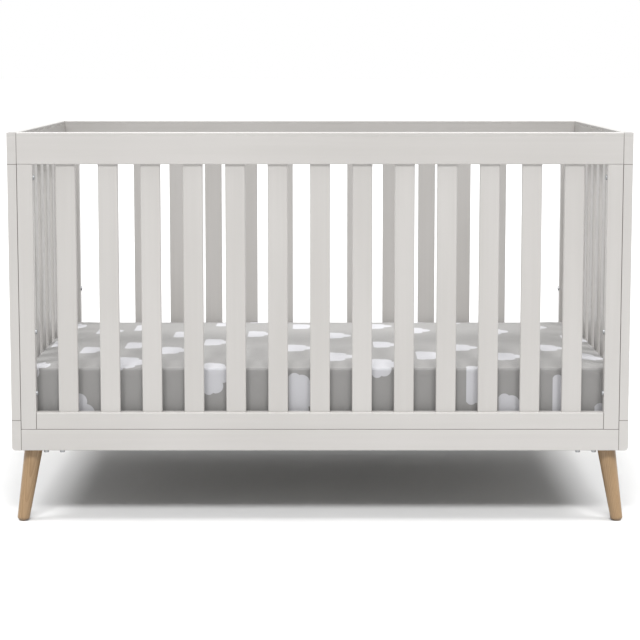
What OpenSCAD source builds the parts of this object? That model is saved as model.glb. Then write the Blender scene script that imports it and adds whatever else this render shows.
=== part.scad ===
// Full-size baby crib: four slatted panels bolted into a box, a front and a back
// apron under the side panels, four splayed turned legs on leg blocks, and a
// steel mattress support that hangs on shoulder bolts at one of three heights.
// Millimetres. X runs along the crib, the front is at -Y, the floor is Z = 0.
// Pieces that repeat are written once, for the front right corner, and mirrored.

/* [Overall size] */
// Length over the two end panels
crib_length = 1372; // [1250:1:1500]
// Depth over the front and back panels
crib_depth = 762; // [660:1:850]
// Height of the top rails above the floor
crib_height = 870; // [760:1:1050]
// Height of the underside of the body above the floor
body_clearance = 162; // [130:1:200]

/* [Panels] */
// Thickness of the end panels
end_thick = 21; // [19:0.5:26]
// Thickness of the front and back panels and the aprons
side_thick = 22; // [20:0.5:27]
// Width of the stiles of the end panels
end_stile_w = 38; // [34:0.5:50]
// Width of the stiles of the front and back panels
side_stile_w = 34.5; // [33:0.5:44]
// Height of the four top rails
top_rail_h = 70; // [50:1:90]
// Height of the bottom rails of the end panels
end_rail_h = 68; // [60:1:85]
// Height of the bottom rails of the front and back panels
side_rail_h = 38; // [34:1:50]
// Height of the aprons
apron_h = 48; // [44:1:60]
// Radius eased along the edges of every rail and stile
edge_ease = 2; // [1:0.5:3]
// Radius of the lower outer edge of the end panels
end_corner_r = 9; // [4:0.5:10]

/* [Slats] */
// Width of a slat
slat_w = 44; // [30:1:55]
// Thickness of a slat
slat_thick = 12; // [9:0.5:14]
// Radius eased along the edges of a slat
slat_ease = 3; // [1:0.5:4]
// Widest opening allowed beside a slat
slat_gap_max = 50; // [40:1:60]
// How far a slat is housed in each rail
slat_housing = 10; // [6:1:14]
// Clearance round a housed slat end
housing_gap = 0.15; // [0.05:0.05:0.4]

/* [Legs] */
// Diameter of a leg at its top
leg_top_d = 40; // [34:0.5:46]
// Diameter of a leg at its foot
leg_foot_d = 27; // [22:0.5:32]
// How far the foot stands outwards of the leg's top, along and across the crib
leg_splay = 22.5; // [10:0.5:24]
// Leg's top centre to the outer face of the end panel
leg_inset_x = 42; // [42:0.5:50]
// Leg's top centre to the outer face of the front or back panel
leg_inset_y = 38; // [38:0.5:46]
// Radius round the foot's edge
foot_round = 7; // [4:0.5:8]
// Diameter of the glide under a foot
glide_d = 18; // [14:0.5:20]
// Thickness of the glide
glide_h = 3; // [2:0.5:5]

/* [Corner joinery] */
// Thickness of a leg block
leg_block_t = 20; // [18:1:22]
// Length of a leg block along the crib
leg_block_l = 113; // [108:1:130]
// Width of a leg block across the crib
leg_block_w = 58; // [56:1:70]
// How far a leg block hangs below the apron
leg_block_drop = 4; // [2:0.5:6]
// Length of a corner block
corner_block_l = 79; // [76:1:80]
// Width of a corner block
corner_block_w = 32; // [28:1:34]
// Height of a corner block
corner_block_h = 28; // [26:1:34]
// Distance between the two bolts of a leg block
leg_bolt_pitch = 36; // [30:1:40]
// Diameter of the wooden dowels
dowel_d = 8; // [6:0.5:8]
// Length of the wooden dowels
dowel_l = 30; // [24:1:34]

/* [Bolts] */
// Diameter of every machine bolt
bolt_d = 6; // [5:0.5:6]
// Diameter of a bolt head
bolt_head_d = 11; // [10:0.5:12]
// Height of a panel bolt's head
panel_head_h = 3; // [2:0.5:4]
// Heights of the panel bolts above the floor, lowest first
panel_bolt_heights = [290, 428, 771];
// Outer diameter of the threaded inserts
insert_d = 10; // [9:0.5:10]
// Length of the threaded inserts
insert_l = 13; // [11:0.5:14]

/* [Mattress] */
// Length of the mattress
mattress_l = 1320; // [1150:1:1440]
// Width of the mattress
mattress_w = 700; // [580:1:780]
// Thickness of the mattress
mattress_t = 128; // [90:1:150]
// Radius of the mattress's upright corners
mattress_r = 30; // [10:1:60]
// Thickness of the mattress's padded cover
cover_t = 6; // [4:0.5:12]
// Thickness of the fitted sheet
sheet_t = 1.2; // [0.8:0.1:2]
// How far the fitted sheet turns in under the mattress
sheet_turn = 70; // [40:1:120]

/* [Mattress support] */
// Height of the support's tubes above the floor at the lowest level
support_low = 193; // [191:1:197]
// Distance from one level to the next
level_step = 85; // [75:1:90]
// Side of the square steel tube
tube = 20; // [16:1:22]
// Wall of the tube
tube_wall = 1.5; // [1:0.1:2]
// Gap between the support and the end panels
support_gap_x = 7; // [5:1:9]
// Gap between the support and the front and back panels
support_gap_y = 41; // [38:1:48]
// Diameter of the deck wires
wire_d = 3; // [2.5:0.1:4]
// Widest space between two long wires
wire_space = 62; // [45:1:80]
// Number of cross wires in each of the three bays
bay_wires = 3; // [1:1:5]
// Width of a hook bracket
bracket_w = 29; // [28:1:30]
// Thickness of the hook brackets' plate
bracket_t = 3; // [2:0.5:3.5]
// Height of a hook bracket
bracket_h = 72; // [66:1:80]
// Diameter of a shoulder bolt's shoulder
shoulder_d = 7; // [6:0.5:7]
// Diameter of a shoulder bolt's head
shoulder_head_d = 14; // [12:0.5:14]
// Clearance between parts that slide past each other
running_gap = 0.3; // [0.2:0.1:0.5]

/* [Hidden] */
$fn = 40;

paint = [0.86, 0.85, 0.83];
oak = [0.70, 0.58, 0.45];
beech = [0.80, 0.66, 0.48];
zinc = [0.72, 0.73, 0.74];
dark_steel = [0.30, 0.31, 0.32];
nylon = [0.20, 0.19, 0.18];
ticking = [0.93, 0.92, 0.88];
grey_cloth = [0.66, 0.65, 0.64];

// Where the panels stand
side_length = crib_length - 2 * end_thick;
inner_x = side_length / 2;
inner_y = crib_depth / 2 - side_thick;
end_x = inner_x + end_thick / 2;
side_y = inner_y + side_thick / 2;
side_stile_x = inner_x - side_stile_w / 2;
end_stile_y = (crib_depth - end_stile_w) / 2;
rail_underside = crib_height - top_rail_h;
apron_top = body_clearance + apron_h;
side_rail_top = apron_top + side_rail_h;
end_rail_top = body_clearance + end_rail_h;

// Slats: the fewest that keep every opening under the limit, evenly spaced
side_clear = side_length - 2 * side_stile_w;
end_clear = crib_depth - 2 * end_stile_w;
function slat_count(clear) = ceil((clear - slat_gap_max) / (slat_w + slat_gap_max));
function slat_gap(clear) = (clear - slat_count(clear) * slat_w) / (slat_count(clear) + 1);
function slat_places(clear) = [
    for (i = [0 : slat_count(clear) - 1])
        (i + 1) * slat_gap(clear) + (i + 0.5) * slat_w - clear / 2
];

// Legs and the blocks they stand under
leg_block_z = body_clearance - leg_block_drop;
corner_block_z = leg_block_z + leg_block_t;
leg_top = [crib_length / 2 - leg_inset_x, -(crib_depth / 2 - leg_inset_y), leg_block_z];
leg_foot = [leg_top[0] + leg_splay, leg_top[1] - leg_splay, 0];
leg_axis_l = norm(leg_top - leg_foot);
leg_tilt = acos(leg_block_z / leg_axis_l);
hanger_d = 8;
hanger_l = 48;
hanger_in_leg = 34;
leg_insert_d = 12;
leg_insert_l = 15;
block_end = inner_x - leg_block_l;
leg_bolt_y = -inner_y + corner_block_w / 2;
leg_bolt_off = 27.5;
leg_bolt_x = [block_end + leg_bolt_off, block_end + leg_bolt_off + leg_bolt_pitch];
leg_bolt_l = 30;
leg_head_h = 6;
washer_d = 14;
washer_t = 1.6;

// Dowels, bolts and the holes they stand in
dowel_fit = 0.02;
dowel_end_gap = 0.5;
thread_fit = 0.02;
bolt_hole_d = bolt_d + 0.6;
panel_bolt_l = 45;
side_dowel_off = 8;
end_dowel_off = 10;
rail_dowel_off = 9;
block_dowel = [inner_x, -inner_y + 29, leg_block_z + 12];
screw_d = 5;
screw_head_d = 9;
screw_in_apron = 16;
screw_x = [block_end + 14, block_end + 49.5];
screw_z = corner_block_z + corner_block_h - 10;
apron_bolt_z = corner_block_z + 12;
apron_bolt_head_h = 4;
apron_bolt_in_apron = 28;
barrel_nut_x = inner_x - 20;
barrel_nut_l = 16;
bore_past = 1;

// Mattress support
frame_x = inner_x - support_gap_x;
frame_y = inner_y - support_gap_y;
tube_top = support_low + tube;
deck_top = tube_top + wire_d;
shelf_z = support_low - bracket_t;
bracket_x = inner_x - 1 - bracket_w;
hook_x = bracket_x + 18;
neck_w = 10;
neck_l = 9;
hook_z = support_low + 48;
bracket_bolt = [frame_x - tube / 2, -(frame_y - tube / 2)];
bracket_bolt_head_h = 4;
plate_y = -inner_y + running_gap;
levels = 3;
bay = (2 * frame_x - 4 * tube) / 3;
cross_tube_x = bay / 2 + tube / 2;
wire_count = ceil((2 * frame_y - 2 * tube) / wire_space) - 1;
wire_pitch = (2 * frame_y - 2 * tube) / (wire_count + 1);
wire_inset = 3;

// Mattress
mattress_z = deck_top + running_gap;

// ---------------------------------------------------------------- shapes

// Rectangle with eased corners, centred
module eased(w, h, r) {
    square([w - 2 * r, h], center = true);
    square([w, h - 2 * r], center = true);
    for (sx = [-1, 1], sy = [-1, 1])
        translate([sx * (w / 2 - r), sy * (h / 2 - r)]) circle(r);
}

// Upright piece with eased edges, centred on its X and Y
module upright(size_x, size_y, r, z_low, z_high) {
    translate([0, 0, z_low]) linear_extrude(z_high - z_low) eased(size_x, size_y, r);
}

// Level piece along X with eased edges, centred on its X and Y
module level_bar(length, thick, z_low, z_high) {
    translate([0, 0, (z_low + z_high) / 2]) rotate([90, 0, 90])
        linear_extrude(length, center = true) eased(thick, z_high - z_low, edge_ease);
}

// Round bar between two points that differ along one axis only
module bar_x(d, x_low, x_high) {
    translate([x_low, 0, 0]) rotate([0, 90, 0]) cylinder(h = x_high - x_low, d = d);
}
module bar_y(d, y_low, y_high) {
    translate([0, y_low, 0]) rotate([-90, 0, 0]) cylinder(h = y_high - y_low, d = d);
}
module bar_z(d, z_low, z_high) {
    translate([0, 0, z_low]) cylinder(h = z_high - z_low, d = d);
}

// Housings for the slat ends, cut past one face of a rail along X
module slat_housings(clear, z_low, z_high) {
    for (x = slat_places(clear))
        translate([x, 0, 0])
            upright(slat_w + 2 * housing_gap, slat_thick + 2 * housing_gap,
                    slat_ease, z_low, z_high);
}

module slat_row(clear, z_low, z_high) {
    for (x = slat_places(clear))
        translate([x, 0, 0])
            upright(slat_w, slat_thick, slat_ease, z_low - slat_housing, z_high + slat_housing);
}

// The same piece at the left, at the back, or at all four corners
module at_left() { mirror([1, 0, 0]) children(); }
module at_back() { mirror([0, 1, 0]) children(); }
module at_corners() {
    for (mx = [0, 1], my = [0, 1])
        mirror([mx, 0, 0]) mirror([0, my, 0]) children();
}

// ------------------------------------------------- dowels and their places

// Dowel pairs of the front right corner, larger all over by fit and longer by gap
module corner_dowels(fit, gap) {
    half = dowel_l / 2 + gap;
    d = dowel_d + 2 * fit;
    for (s = [-1, 1]) {
        translate([side_stile_x + s * side_dowel_off, -side_y, 0])
            bar_z(d, rail_underside - half, rail_underside + half);
        translate([0, -side_y, (apron_top + side_rail_top) / 2 + s * rail_dowel_off])
            bar_x(d, inner_x - side_stile_w - half, inner_x - side_stile_w + half);
        translate([end_x, -end_stile_y + s * end_dowel_off, 0]) {
            bar_z(d, rail_underside - half, rail_underside + half);
            bar_z(d, end_rail_top - half, end_rail_top + half);
        }
    }
    translate([0, block_dowel[1], block_dowel[2]])
        bar_x(d, block_dowel[0] - half, block_dowel[0] + half);
}

module dowel_bores() { at_corners() corner_dowels(dowel_fit, dowel_end_gap); }

module wood_dowels() { color(beech) at_corners() corner_dowels(0, 0); }

// ------------------------------------------------------- bolts and inserts

// Holes of the panel bolts: through the side stile, and for the insert in the end stile
module panel_bolt_holes() {
    for (z = panel_bolt_heights)
        translate([0, -side_y, z]) {
            bar_x(bolt_hole_d, inner_x - side_stile_w - bore_past, inner_x + bore_past);
            bar_x(insert_d, inner_x, inner_x + insert_l);
        }
}

module panel_bolts() {
    color(zinc) at_corners()
        for (z = panel_bolt_heights)
            translate([0, -side_y, z]) {
                head_face = inner_x - side_stile_w;
                bar_x(bolt_d, head_face, head_face + panel_bolt_l);
                bar_x(bolt_head_d, head_face - panel_head_h, head_face);
            }
}

// Threaded sleeve along X, Y or Z, as the bar that is its outside less the bolt's thread
module panel_bolt_inserts() {
    color("goldenrod") at_corners()
        for (z = panel_bolt_heights)
            translate([0, -side_y, z])
                difference() {
                    bar_x(insert_d, inner_x, inner_x + insert_l);
                    bar_x(bolt_d + 2 * thread_fit, inner_x - bore_past,
                          inner_x + insert_l + bore_past);
                }
}

// Bolt from the outside of the end panel into a barrel nut in the apron
module apron_bolt_holes() {
    translate([0, -side_y, apron_bolt_z]) {
        bar_x(bolt_hole_d, inner_x - apron_bolt_in_apron, inner_x + end_thick + bore_past);
        bar_x(bolt_head_d + 2, inner_x + end_thick - apron_bolt_head_h,
              inner_x + end_thick + bore_past);
    }
    translate([barrel_nut_x, 0, apron_bolt_z])
        bar_y(insert_d, -inner_y - barrel_nut_l, -inner_y + bore_past);
}

module apron_bolts() {
    color(zinc) at_corners()
        translate([0, -side_y, apron_bolt_z]) {
            head_seat = inner_x + end_thick - apron_bolt_head_h;
            bar_x(bolt_d, inner_x - apron_bolt_in_apron + bore_past, head_seat);
            bar_x(bolt_head_d, head_seat, inner_x + end_thick - 0.5);
        }
}

module apron_barrel_nuts() {
    color("goldenrod") at_corners()
        difference() {
            translate([barrel_nut_x, 0, apron_bolt_z])
                bar_y(insert_d, -inner_y - barrel_nut_l, -inner_y - 0.5);
            translate([barrel_nut_x, -side_y, apron_bolt_z])
                bar_x(bolt_d + 2 * thread_fit, -insert_d, insert_d);
        }
}

// ------------------------------------------------ front and back side panels

module side_top_rail() {
    color(paint) difference() {
        translate([0, -side_y, 0])
            level_bar(side_length, side_thick, rail_underside, crib_height);
        translate([0, -side_y, 0])
            slat_housings(side_clear, rail_underside - bore_past, rail_underside + slat_housing);
        dowel_bores();
    }
}

module side_bottom_rail() {
    color(paint) difference() {
        translate([0, -side_y, 0])
            level_bar(side_clear, side_thick, apron_top, side_rail_top);
        translate([0, -side_y, 0])
            slat_housings(side_clear, side_rail_top - slat_housing, side_rail_top + bore_past);
        dowel_bores();
    }
}

module side_stile() {
    color(paint) difference() {
        translate([side_stile_x, -side_y, 0])
            upright(side_stile_w, side_thick, edge_ease, apron_top, rail_underside);
        dowel_bores();
        panel_bolt_holes();
        shoulder_insert_places(insert_l + bore_past, bore_past) circle(d = insert_d);
    }
}

module side_slats() {
    color(paint) translate([0, -side_y, 0])
        slat_row(side_clear, side_rail_top, rail_underside);
}

module apron() {
    color(paint) difference() {
        translate([0, -side_y, 0])
            level_bar(side_length, side_thick, body_clearance, apron_top);
        for (m = [0, 1]) mirror([m, 0, 0]) {
            apron_bolt_holes();
            corner_screws(screw_d);
        }
    }
}

// ----------------------------------------------------------------- end panels

module along_end() { translate([end_x, 0, 0]) rotate([0, 0, 90]) children(); }

module end_top_rail() {
    color(paint) difference() {
        along_end() level_bar(crib_depth, end_thick, rail_underside, crib_height);
        along_end() slat_housings(end_clear, rail_underside - bore_past,
                                  rail_underside + slat_housing);
        dowel_bores();
    }
}

// Its lower outer edge carries the large radius
module end_bottom_rail() {
    r = end_corner_r;
    color(paint) difference() {
        translate([end_x, 0, body_clearance]) rotate([90, 0, 0])
            linear_extrude(crib_depth, center = true) difference() {
                translate([0, end_rail_h / 2]) eased(end_thick, end_rail_h, edge_ease);
                difference() {
                    translate([end_thick / 2 - r, -bore_past]) square(r + bore_past);
                    translate([end_thick / 2 - r, r]) circle(r);
                }
            }
        along_end() slat_housings(end_clear, end_rail_top - slat_housing,
                                  end_rail_top + bore_past);
        dowel_bores();
        apron_bolt_holes();
        at_back() apron_bolt_holes();
    }
}

module end_stile() {
    color(paint) difference() {
        translate([end_x, -end_stile_y, 0])
            upright(end_thick, end_stile_w, edge_ease, end_rail_top, rail_underside);
        dowel_bores();
        panel_bolt_holes();
    }
}

module end_slats() {
    color(paint) along_end() slat_row(end_clear, end_rail_top, rail_underside);
}

// ----------------------------------------------------- corner and leg blocks

// Screws from the inside of the corner block into the apron
module corner_screws(d) {
    for (x = screw_x)
        translate([x, 0, screw_z])
            bar_y(d, -inner_y - screw_in_apron, -inner_y + corner_block_w);
}

module leg_bolt_axes() {
    for (x = leg_bolt_x) translate([x, leg_bolt_y, 0]) children();
}

module corner_block() {
    color(paint) difference() {
        translate([block_end, -inner_y, corner_block_z])
            cube([corner_block_l, corner_block_w, corner_block_h]);
        corner_screws(screw_d);
        for (x = screw_x)
            translate([x, 0, screw_z])
                bar_y(screw_head_d, -inner_y + corner_block_w - 3,
                      -inner_y + corner_block_w + bore_past);
        leg_bolt_axes() bar_z(insert_d, corner_block_z - bore_past, corner_block_z + insert_l + 2);
    }
}

module corner_block_screws() {
    color(zinc) at_corners() {
        corner_screws(screw_d);
        for (x = screw_x)
            translate([x, 0, screw_z])
                bar_y(screw_head_d, -inner_y + corner_block_w - 3,
                      -inner_y + corner_block_w - 0.5);
    }
}

module corner_block_inserts() {
    color("goldenrod") at_corners() leg_bolt_axes()
        difference() {
            bar_z(insert_d, corner_block_z, corner_block_z + insert_l);
            bar_z(bolt_d + 2 * thread_fit, corner_block_z - bore_past,
                  corner_block_z + insert_l + bore_past);
        }
}

module leg_block() {
    color(paint) difference() {
        translate([block_end, -inner_y, leg_block_z])
            cube([leg_block_l, leg_block_w, leg_block_t]);
        leg_bolt_axes() bar_z(bolt_hole_d, leg_block_z - bore_past, corner_block_z + bore_past);
        on_leg_axis() bar_z(leg_insert_d, leg_axis_l - 5, leg_axis_l + leg_insert_l);
        dowel_bores();
    }
}

module leg_block_bolts() {
    color(zinc) at_corners() leg_bolt_axes() {
        bar_z(bolt_d, leg_block_z - washer_t, leg_block_z - washer_t + leg_bolt_l);
        bar_z(bolt_head_d, leg_block_z - washer_t - leg_head_h, leg_block_z - washer_t);
    }
}

module leg_block_washers() {
    color(zinc) at_corners() leg_bolt_axes()
        difference() {
            bar_z(washer_d, leg_block_z - washer_t, leg_block_z);
            bar_z(bolt_d + 2 * thread_fit, leg_block_z - washer_t - bore_past,
                  leg_block_z + bore_past);
        }
}

// ----------------------------------------------------------------------- legs

// Puts a piece drawn up the Z axis from the foot onto the leg's splayed axis
module on_leg_axis() { translate(leg_foot) rotate([0, leg_tilt, 135]) children(); }

module leg() {
    r_top = leg_top_d / 2;
    r_foot = leg_foot_d / 2;
    over = 12;
    color(oak) difference() {
        on_leg_axis() rotate_extrude() {
            polygon([[0, 0], [r_foot - foot_round, 0], [r_foot, foot_round],
                     [r_top, leg_axis_l], [r_top, leg_axis_l + over], [0, leg_axis_l + over]]);
            intersection() {
                translate([r_foot - foot_round, foot_round]) circle(foot_round);
                square([leg_foot_d, leg_axis_l]);
            }
        }
        translate([leg_top[0] - 50, leg_top[1] - 50, leg_block_z]) cube([100, 100, 50]);
        translate([leg_foot[0] - 50, leg_foot[1] - 50, glide_h - 50]) cube([100, 100, 50]);
        on_leg_axis() bar_z(hanger_d + 2 * thread_fit, leg_axis_l - hanger_in_leg,
                            leg_axis_l + over + bore_past);
    }
}

module leg_hanger_bolts() {
    color(zinc) at_corners() on_leg_axis()
        bar_z(hanger_d, leg_axis_l - hanger_in_leg + 1, leg_axis_l - hanger_in_leg + hanger_l);
}

module leg_inserts() {
    color("goldenrod") at_corners() difference() {
        on_leg_axis() bar_z(leg_insert_d, leg_axis_l - 5, leg_axis_l + leg_insert_l);
        on_leg_axis() bar_z(hanger_d + 2 * thread_fit, leg_axis_l - 10,
                            leg_axis_l + leg_insert_l + 10);
        translate([leg_top[0] - 50, leg_top[1] - 50, leg_block_z - 50]) cube([100, 100, 50]);
    }
}

module leg_glides() {
    color(nylon) at_corners() translate([leg_foot[0], leg_foot[1], 0])
        bar_z(glide_d, 0, glide_h);
}

// ----------------------------------------------------------- mattress support

// Draws a flat shape at each level's hook, standing on the inner face of the side stile
module shoulder_insert_places(deep, proud) {
    for (k = [0 : levels - 1])
        translate([hook_x, -inner_y + proud, hook_z + k * level_step]) rotate([90, 0, 0])
            linear_extrude(deep + proud) children();
}

module shoulder_bolt_inserts() {
    color("goldenrod") at_corners() difference() {
        shoulder_insert_places(insert_l, 0) circle(d = insert_d);
        shoulder_insert_places(insert_l + bore_past, bore_past)
            circle(d = bolt_d + 2 * thread_fit);
    }
}

// Hung at the lowest level
module shoulder_bolts() {
    head_y = -inner_y + running_gap + bracket_t + running_gap;
    color(zinc) at_corners() translate([hook_x, 0, hook_z]) {
        bar_y(bolt_d, -inner_y - insert_l + 1, -inner_y);
        bar_y(shoulder_d, -inner_y, head_y);
        bar_y(shoulder_head_d, head_y, head_y + 2.5);
    }
}

// Square tube along X, centred on its length
module square_tube(length) {
    rotate([90, 0, 90]) linear_extrude(length, center = true) difference() {
        eased(tube, tube, 2);
        square(tube - 2 * tube_wall, center = true);
    }
}

module support_side_tube() {
    color(dark_steel) translate([0, -(frame_y - tube / 2), support_low + tube / 2])
        square_tube(2 * (frame_x - tube));
}

module support_end_tube() {
    color(dark_steel) difference() {
        translate([frame_x - tube / 2, 0, support_low + tube / 2]) rotate([0, 0, 90])
            square_tube(2 * frame_y);
        for (m = [0, 1]) mirror([0, m, 0])
            translate([bracket_bolt[0], bracket_bolt[1], 0])
                bar_z(bolt_d + 2 * thread_fit, support_low - bore_past, support_low + tube / 2);
    }
}

module support_cross_tubes() {
    color(dark_steel) for (s = [-1, 1])
        translate([s * cross_tube_x, 0, support_low + tube / 2]) rotate([0, 0, 90])
            square_tube(2 * (frame_y - tube));
}

module support_long_wires() {
    color(dark_steel) for (i = [1 : wire_count])
        translate([0, i * wire_pitch - frame_y + tube, tube_top + wire_d / 2])
            bar_x(wire_d, -frame_x + wire_inset, frame_x - wire_inset);
}

module support_cross_wires() {
    color(dark_steel) for (b = [-1 : 1], j = [1 : bay_wires])
        translate([b * (bay + tube) + j * bay / (bay_wires + 1) - bay / 2, 0,
                   tube_top - wire_d / 2])
            bar_y(wire_d, -frame_y + tube, frame_y - tube);
}

// Plate that hooks over the shoulder bolt, with a shelf under the corner of the frame
module hook_bracket() {
    slot_w = shoulder_d + 2 * running_gap;
    shelf_y = -frame_y + tube;
    difference() {
        union() {
            translate([bracket_x, plate_y, shelf_z]) cube([bracket_w, bracket_t, bracket_h]);
            translate([0, 0, shelf_z]) linear_extrude(bracket_t)
                polygon([[bracket_x, plate_y], [bracket_x + neck_w, plate_y],
                         [bracket_x + neck_w, plate_y + neck_l],
                         [bracket_x + bracket_w, plate_y + neck_l],
                         [bracket_x + bracket_w, shelf_y], [bracket_x, shelf_y]]);
        }
        translate([hook_x, 0, hook_z]) bar_y(slot_w, plate_y - 1, plate_y + bracket_t + 1);
        translate([hook_x - slot_w / 2, plate_y - 1, shelf_z - 1])
            cube([slot_w, bracket_t + 2, hook_z - shelf_z + 1]);
        translate([bracket_bolt[0], bracket_bolt[1], 0])
            bar_z(bolt_d + 2 * thread_fit, shelf_z - 1, support_low + 1);
    }
}

module support_hook_brackets() { color(dark_steel) at_corners() hook_bracket(); }

module support_bracket_bolts() {
    color(zinc) at_corners() translate([bracket_bolt[0], bracket_bolt[1], 0]) {
        bar_z(bolt_d, shelf_z, support_low + tube / 2 - 1);
        bar_z(bolt_head_d, shelf_z - bracket_bolt_head_h, shelf_z);
    }
}

// ------------------------------------------------------------------- mattress

// The made-up mattress, smaller all round by inset
module mattress_form(inset) {
    upright(mattress_l - 2 * inset, mattress_w - 2 * inset, mattress_r - inset,
            mattress_z + inset, mattress_z + mattress_t - inset);
}

// Padded cover, closed all round, with the space inside that its springs take
module mattress() {
    color(ticking) difference() {
        mattress_form(sheet_t);
        mattress_form(sheet_t + cover_t);
    }
}

// Closed over the top and the four sides, and turned in under the mattress
module fitted_sheet() {
    color(grey_cloth) difference() {
        mattress_form(0);
        mattress_form(sheet_t);
        upright(mattress_l - 2 * sheet_turn, mattress_w - 2 * sheet_turn, mattress_r,
                mattress_z - 1, mattress_z + sheet_t + 1);
    }
}

at_left() end_top_rail();  // left_end_top_rail
at_left() end_bottom_rail();  // left_end_bottom_rail
at_left() end_stile();  // left_end_front_stile
at_left() at_back() end_stile();  // left_end_back_stile
at_left() end_slats();  // left_end_slats
end_top_rail();  // right_end_top_rail
end_bottom_rail();  // right_end_bottom_rail
end_stile();  // right_end_front_stile
at_back() end_stile();  // right_end_back_stile
end_slats();  // right_end_slats
side_top_rail();  // front_top_rail
side_bottom_rail();  // front_bottom_rail
at_left() side_stile();  // front_left_stile
side_stile();  // front_right_stile
side_slats();  // front_slats
apron();  // front_apron
at_back() side_top_rail();  // back_top_rail
at_back() side_bottom_rail();  // back_bottom_rail
at_left() at_back() side_stile();  // back_left_stile
at_back() side_stile();  // back_right_stile
at_back() side_slats();  // back_slats
at_back() apron();  // back_apron
at_left() corner_block();  // front_left_corner_block
corner_block();  // front_right_corner_block
at_left() at_back() corner_block();  // back_left_corner_block
at_back() corner_block();  // back_right_corner_block
at_left() leg_block();  // front_left_leg_block
leg_block();  // front_right_leg_block
at_left() at_back() leg_block();  // back_left_leg_block
at_back() leg_block();  // back_right_leg_block
at_left() leg();  // front_left_leg
leg();  // front_right_leg
at_left() at_back() leg();  // back_left_leg
at_back() leg();  // back_right_leg
leg_hanger_bolts();
leg_inserts();
leg_glides();
leg_block_bolts();
leg_block_washers();
corner_block_inserts();
corner_block_screws();
wood_dowels();
panel_bolts();
panel_bolt_inserts();
apron_bolts();
apron_barrel_nuts();
shoulder_bolts();
shoulder_bolt_inserts();
support_side_tube();  // support_front_tube
at_back() support_side_tube();  // support_back_tube
at_left() support_end_tube();  // support_left_tube
support_end_tube();  // support_right_tube
support_cross_tubes();
support_long_wires();
support_cross_wires();
support_hook_brackets();
support_bracket_bolts();
mattress();
fitted_sheet();
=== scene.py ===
import math

import bpy
import numpy as np
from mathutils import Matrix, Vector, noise


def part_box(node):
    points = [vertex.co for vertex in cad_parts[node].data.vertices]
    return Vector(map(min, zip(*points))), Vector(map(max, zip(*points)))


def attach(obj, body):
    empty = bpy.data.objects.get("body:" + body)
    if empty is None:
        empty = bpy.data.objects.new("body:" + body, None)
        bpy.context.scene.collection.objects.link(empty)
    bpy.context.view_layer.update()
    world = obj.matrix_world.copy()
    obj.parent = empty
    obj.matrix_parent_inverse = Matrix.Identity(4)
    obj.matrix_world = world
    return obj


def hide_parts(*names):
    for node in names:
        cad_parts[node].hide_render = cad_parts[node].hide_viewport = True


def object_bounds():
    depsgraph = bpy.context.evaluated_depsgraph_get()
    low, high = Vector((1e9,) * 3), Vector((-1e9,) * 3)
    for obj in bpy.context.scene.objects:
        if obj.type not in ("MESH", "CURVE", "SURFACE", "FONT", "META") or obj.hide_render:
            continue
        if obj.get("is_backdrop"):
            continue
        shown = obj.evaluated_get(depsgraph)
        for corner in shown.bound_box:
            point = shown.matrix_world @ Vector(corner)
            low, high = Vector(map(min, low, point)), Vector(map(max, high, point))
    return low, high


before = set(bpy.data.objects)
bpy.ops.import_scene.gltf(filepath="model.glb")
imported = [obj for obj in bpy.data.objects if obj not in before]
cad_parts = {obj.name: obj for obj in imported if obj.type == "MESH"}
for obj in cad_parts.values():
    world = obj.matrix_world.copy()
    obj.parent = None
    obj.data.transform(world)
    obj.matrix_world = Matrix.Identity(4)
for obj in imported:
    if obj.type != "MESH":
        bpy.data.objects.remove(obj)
cad_low, cad_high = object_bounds()
scene = bpy.context.scene

# ---------------------------------------------------------------- camera
# A product camera in front of the crib at chest height, tipped down a little. The small
# shift keeps the uprights nearly plumb while the crib sits low in the frame.
camera = bpy.data.objects.new("camera", bpy.data.cameras.new("camera"))
scene.collection.objects.link(camera)
scene.camera = camera
camera.location = (0.0, -4.201, 1.026)
camera.rotation_euler = (math.radians(90 - 5.99), 0.0, 0.0)
camera.data.lens = 98.2
camera.data.sensor_width = 36.0
camera.data.shift_y = -0.119
camera.data.clip_end = 200.0


# ---------------------------------------------------------------- end panels
# Two framed panels of planed poplar, sprayed with a satin warm light grey that is close to
# white. A wide top rail caps the stiles, and the bottom rail carries them.
class Socket:
    """One node output. Sums written with it add Math nodes to its graph."""

    def __init__(self, graph, link):
        self.graph, self.link = graph, link

    def __add__(self, other): return self.graph.maths("ADD", self, other)
    def __sub__(self, other): return self.graph.maths("SUBTRACT", self, other)
    def __mul__(self, other): return self.graph.maths("MULTIPLY", self, other)
    def __truediv__(self, other): return self.graph.maths("DIVIDE", self, other)
    def __lt__(self, other): return self.graph.maths("LESS_THAN", self, other)
    def __gt__(self, other): return self.graph.maths("GREATER_THAN", self, other)
    def __radd__(self, other): return self.graph.maths("ADD", other, self)


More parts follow.
